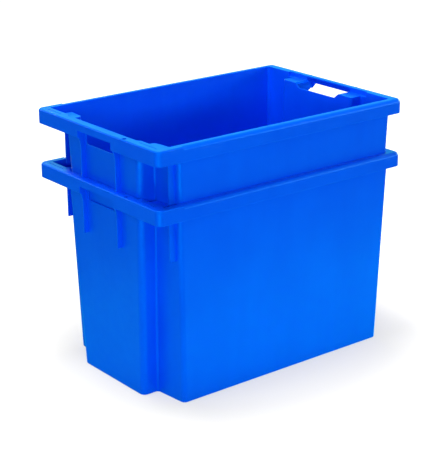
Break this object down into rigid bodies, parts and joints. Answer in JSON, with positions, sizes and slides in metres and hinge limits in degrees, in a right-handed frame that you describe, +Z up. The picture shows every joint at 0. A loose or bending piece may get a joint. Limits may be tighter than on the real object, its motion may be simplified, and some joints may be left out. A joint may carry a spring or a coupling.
{
  "type": "nesting plastic crate",
  "caption": "Deep stack-and-nest plastic harvest crate nested in its twin, with a skirted rim, end grips, ribs that stop the nest, and corner seats for stacking.",
  "frame": {"origin": "middle of the lower crate's underside, on the surface that it stands on", "axes": "+X along the crate from the panel end to the column end, +Y across it, +Z up"},
  "size_m": [0.6, 0.4, 0.5125],
  "materials": {
    "blue_plastic": "satin injection-moulded polyethylene"
  },
  "bodies": {
    "lower": {"lower_crate": "blue_plastic"},
    "upper": {"upper_crate": "blue_plastic"}
  },
  "joints": [
    {"name": "upper_lift", "type": "slide", "parent": "lower", "child": "upper", "axis": [0, 0, 1], "range_m": [0, 0.32]}
  ]
}
